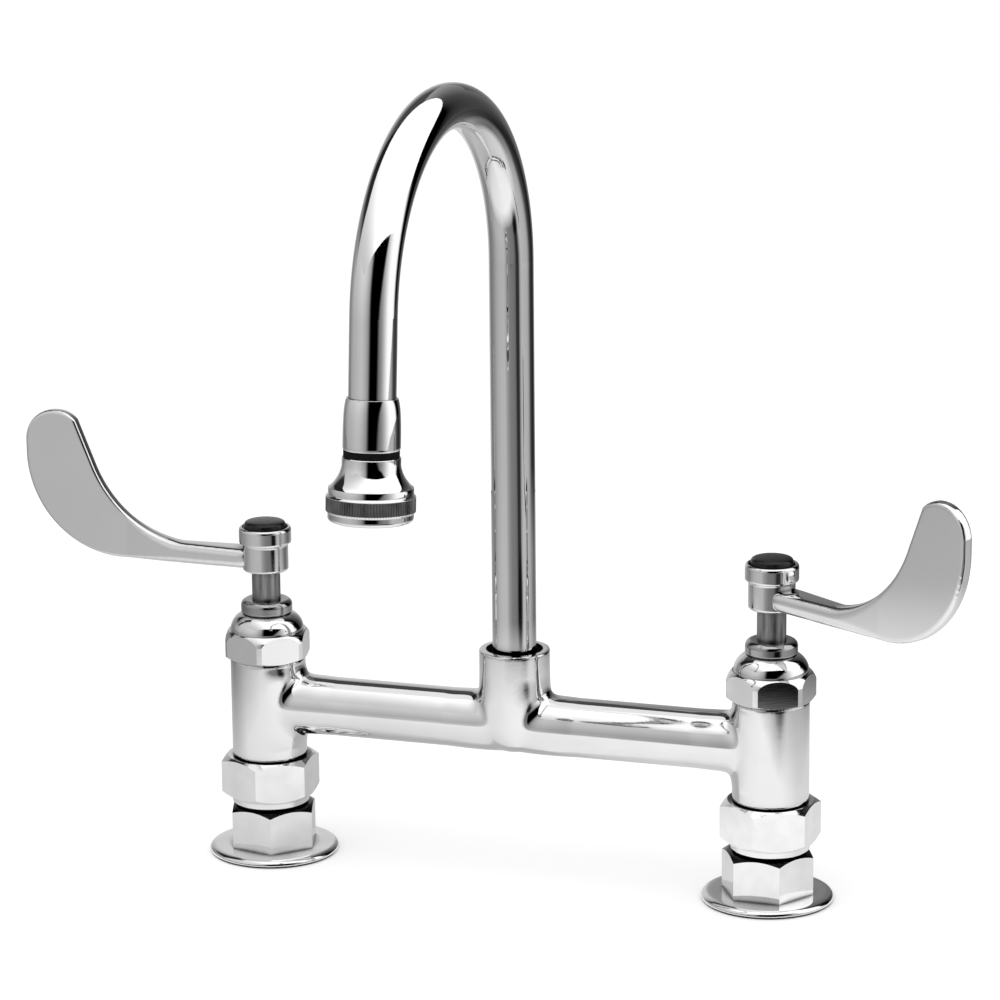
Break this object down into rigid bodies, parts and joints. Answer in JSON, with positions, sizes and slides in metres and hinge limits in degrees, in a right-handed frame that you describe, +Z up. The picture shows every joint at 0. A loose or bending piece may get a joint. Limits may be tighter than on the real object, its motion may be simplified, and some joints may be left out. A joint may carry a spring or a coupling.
{
  "type": "commercial bridge faucet",
  "caption": "Deck-mounted commercial bridge mixing faucet with swivelling gooseneck, rose outlet and wrist-blade handles on rising-stem valves.",
  "frame": {"origin": "on the deck plane, midway between the axes of the two inlets", "axes": "+X along the bridge towards the cold valve, -Y towards the user, +Z up"},
  "size_m": [0.3901, 0.1819, 0.3187],
  "materials": {
    "chrome": "polished chrome plating on brass",
    "brass": "machined, unplated",
    "stem_metal": "dull turned metal",
    "rubber": "matt black",
    "button_plastic": "smooth dark plastic"
  },
  "bodies": {
    "body": {"bridge_body": "chrome", "retaining_ring": "stem_metal", "hot_inlet_fitting": "chrome", "hot_union_washer": "rubber", "hot_union_tail": "brass", "hot_coupling_nut": "chrome", "hot_valve_seat": "brass", "hot_bonnet": "chrome", "hot_stem_packing": "rubber", "hot_gland_washer": "brass", "hot_packing_nut": "chrome", "cold_inlet_fitting": "chrome", "cold_union_washer": "rubber", "cold_union_tail": "brass", "cold_coupling_nut": "chrome", "cold_valve_seat": "brass", "cold_bonnet": "chrome", "cold_stem_packing": "rubber", "cold_gland_washer": "brass", "cold_packing_nut": "chrome"},
    "hot_valve": {"hot_disc_holder": "brass", "hot_seat_washer": "rubber", "hot_washer_screw": "brass"},
    "hot_turning_set": {"hot_spindle": "stem_metal", "hot_handle": "chrome", "hot_handle_screw": "stem_metal", "hot_index_button": "button_plastic"},
    "cold_valve": {"cold_disc_holder": "brass", "cold_seat_washer": "rubber", "cold_washer_screw": "brass"},
    "cold_turning_set": {"cold_spindle": "stem_metal", "cold_handle": "chrome", "cold_handle_screw": "stem_metal", "cold_index_button": "button_plastic"},
    "gooseneck": {"gooseneck_tube": "chrome", "swivel_ferrule": "brass", "lower_swivel_oring": "rubber", "upper_swivel_oring": "rubber", "outlet_collar": "chrome", "outlet_seal": "rubber", "rose_housing": "chrome", "strainer": "stem_metal", "spray_plate": "stem_metal"}
  },
  "joints": [
    {"name": "gooseneck_swivel", "type": "hinge", "parent": "body", "child": "gooseneck", "pos_m": [0, 0, 0.077], "axis": [0, 0, 1], "continuous": true},
    {"name": "hot_lift", "type": "slide", "parent": "body", "child": "hot_valve", "axis": [0, 0, 1], "range_m": [0, 0.0016]},
    {"name": "hot_turn", "type": "hinge", "parent": "hot_valve", "child": "hot_turning_set", "pos_m": [-0.1016, 0, 0.12], "axis": [0, 0, 1], "range_deg": [0, 90]},
    {"name": "cold_lift", "type": "slide", "parent": "body", "child": "cold_valve", "axis": [0, 0, 1], "range_m": [-0.00057, 0.00103]},
    {"name": "cold_turn", "type": "hinge", "parent": "cold_valve", "child": "cold_turning_set", "pos_m": [0.1016, 0, 0.12], "axis": [0, 0, -1], "range_deg": [-31.8, 58.2]}
  ],
  "couplings": [
    {"joint": "hot_lift", "follows": "hot_turn", "m_per_rad": 0.0010185},
    {"joint": "cold_lift", "follows": "cold_turn", "m_per_rad": 0.0010185}
  ]
}
